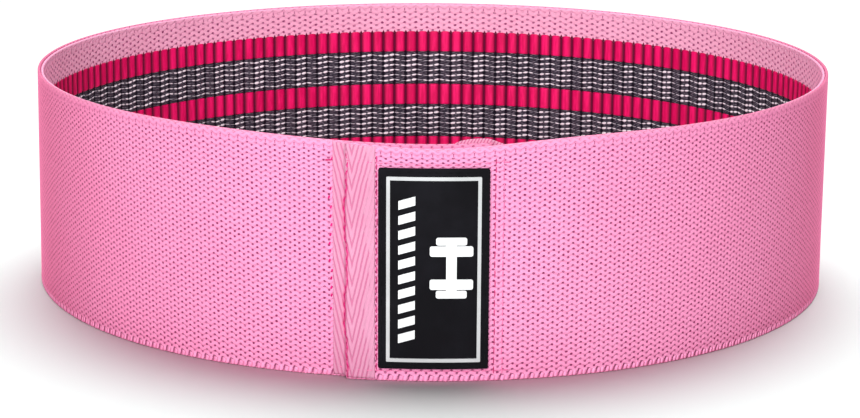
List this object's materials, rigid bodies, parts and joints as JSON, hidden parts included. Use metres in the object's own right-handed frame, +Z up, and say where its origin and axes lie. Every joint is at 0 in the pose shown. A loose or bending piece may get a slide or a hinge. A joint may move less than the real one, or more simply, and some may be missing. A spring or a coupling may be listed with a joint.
{
  "type": "resistance band",
  "caption": "Wide fabric loop resistance band with ribbed grip stripes woven into its inner face, a sewn lapped seam and a raised rubber label; stands on its edge and stretches",
  "frame": {"origin": "middle of the loop, on the plane that the loop stands on", "axes": "+Z up along the width of the webbing, -Y towards the label and the seam, +X to the right as seen from the label side"},
  "size_m": [0.279, 0.2808, 0.076],
  "materials": {
    "pink_cloth": "knitted elastic webbing, soft",
    "pink_tape": "herringbone twill tape",
    "pink_thread": "polyester sewing thread",
    "crimson_ribs": "raised satin ribs",
    "grey_cloth": "coarse dark weave",
    "latex_strands": "matt latex grip yarn",
    "core_rubber": "natural latex",
    "label_rubber": "moulded soft rubber, matt",
    "label_border": "raised rubber, matt",
    "label_print": "raised rubber, matt",
    "label_thread": "polyester sewing thread"
  },
  "bodies": {
    "front": {"face_cloth_front": "pink_cloth", "elastic_cores_front": "core_rubber", "crimson_rib_stripe_top_front": "crimson_ribs", "crimson_rib_stripe_middle_front": "crimson_ribs", "crimson_rib_stripe_bottom_front": "crimson_ribs", "grey_grip_stripe_upper_front": "grey_cloth", "grey_grip_stripe_lower_front": "grey_cloth", "latex_grip_strands_upper_front": "latex_strands", "latex_grip_strands_lower_front": "latex_strands", "outer_seam_tape": "pink_tape", "inner_seam_tape": "pink_tape", "tape_stitching_left": "pink_thread", "tape_stitching_right": "pink_thread", "seam_stitching_right": "pink_thread", "seam_stitching_top": "pink_thread", "seam_stitching_bottom": "pink_thread", "inner_tape_stitching": "pink_thread", "label_base": "label_rubber", "label_border": "label_border", "label_icon": "label_print", "label_level_bars": "label_print", "label_stitching": "label_thread"},
    "back": {"face_cloth_back": "pink_cloth", "elastic_cores_back": "core_rubber", "crimson_rib_stripe_top_back": "crimson_ribs", "crimson_rib_stripe_middle_back": "crimson_ribs", "crimson_rib_stripe_bottom_back": "crimson_ribs", "grey_grip_stripe_upper_back": "grey_cloth", "grey_grip_stripe_lower_back": "grey_cloth", "latex_grip_strands_upper_back": "latex_strands", "latex_grip_strands_lower_back": "latex_strands"}
  },
  "joints": [
    {"name": "loop_stretch", "type": "slide", "parent": "front", "child": "back", "axis": [0, 1, 0], "range_m": [0, 0.16], "stiffness_N_per_m": 700}
  ]
}
